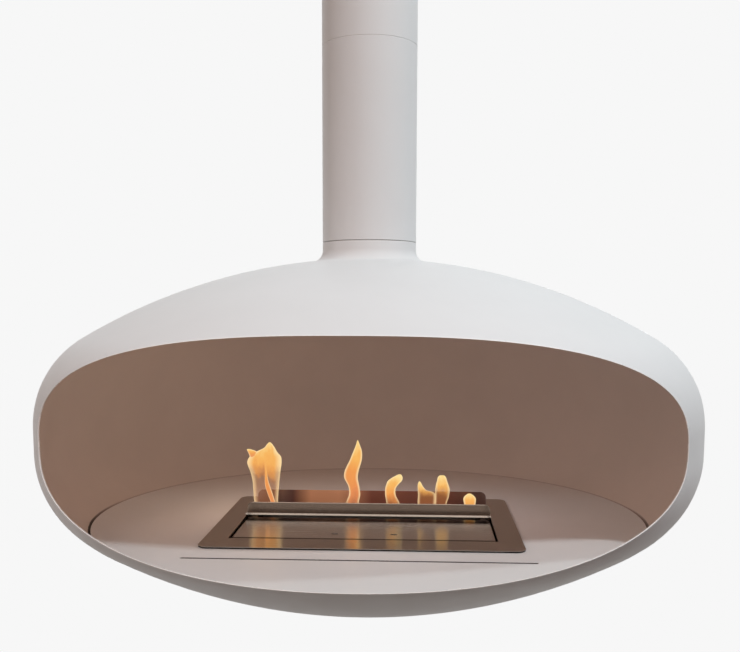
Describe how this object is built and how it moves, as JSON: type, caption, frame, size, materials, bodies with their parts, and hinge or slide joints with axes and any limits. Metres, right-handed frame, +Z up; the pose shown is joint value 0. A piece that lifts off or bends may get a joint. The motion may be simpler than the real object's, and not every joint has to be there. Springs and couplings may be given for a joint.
{
  "type": "hanging fireplace",
  "caption": "Rounded steel shell hung from a ceiling pole on a swivel, open at the front, with a hearth plate and a drop-in liquid-fuel burner under a sliding lid.",
  "frame": {"origin": "centre of the ceiling plate's upper face, on the pole's axis", "axes": "+Z up along the pole, the opening faces -Y, +X to the right of someone who looks into the opening"},
  "size_m": [1, 0.9413, 1.139],
  "materials": {
    "pole_paint": "satin",
    "shell_paint": "satin",
    "hearth_paint": "satin",
    "inner_steel": "matt primer",
    "zinc": "zinc plated",
    "bearing_steel": "ground",
    "bronze": "machined",
    "black_plastic": "matt",
    "burner_steel": "warm brown brushed",
    "tank_steel": "plain",
    "pad_fibre": "felted fibre"
  },
  "bodies": {
    "pole": {"ceiling_plate": "pole_paint", "spigot_screws": "zinc", "ceiling_rose": "pole_paint", "rose_screws": "zinc", "upper_tube": "pole_paint", "pole_coupling": "inner_steel", "coupling_screws": "pole_paint", "lower_tube": "pole_paint", "end_plate": "inner_steel", "spindle": "inner_steel", "spindle_bolts": "zinc", "lower_race": "bearing_steel", "spindle_washer": "zinc", "castle_nut": "zinc", "split_pin": "zinc"},
    "cage": {"ball_cage": "bronze", "bearing_balls": "bearing_steel"},
    "shell": {"upper_race": "bearing_steel", "bearing_housing": "inner_steel", "spindle_bush": "bronze", "housing_bolts": "zinc", "neck_ring": "inner_steel", "friction_ring": "black_plastic", "upper_shell": "shell_paint", "lower_shell": "shell_paint", "hearth_lugs": "shell_paint", "hearth_plate": "hearth_paint", "glass_channel": "hearth_paint"},
    "burner": {"burner_frame": "burner_steel", "fuel_tank": "tank_steel", "burner_deck": "tank_steel", "front_baffle": "burner_steel", "rear_baffle": "burner_steel", "absorbent_pad": "pad_fibre", "pad_mesh": "tank_steel"},
    "lid": {"sliding_lid": "burner_steel"}
  },
  "joints": [
    {"name": "swivel", "type": "hinge", "parent": "pole", "child": "shell", "pos_m": [0, 0, -0.873], "axis": [0, 0, 1], "continuous": true},
    {"name": "cage_turn", "type": "hinge", "parent": "pole", "child": "cage", "pos_m": [0, 0, -0.873], "axis": [0, 0, 1], "continuous": true},
    {"name": "burner_lift", "type": "slide", "parent": "shell", "child": "burner", "axis": [0, 0, 1], "range_m": [0, 0.12]},
    {"name": "lid_slide", "type": "slide", "parent": "burner", "child": "lid", "axis": [0, 1, 0], "range_m": [0, 0.105]}
  ],
  "couplings": [
    {"joint": "cage_turn", "follows": "swivel", "ratio": 0.5}
  ]
}
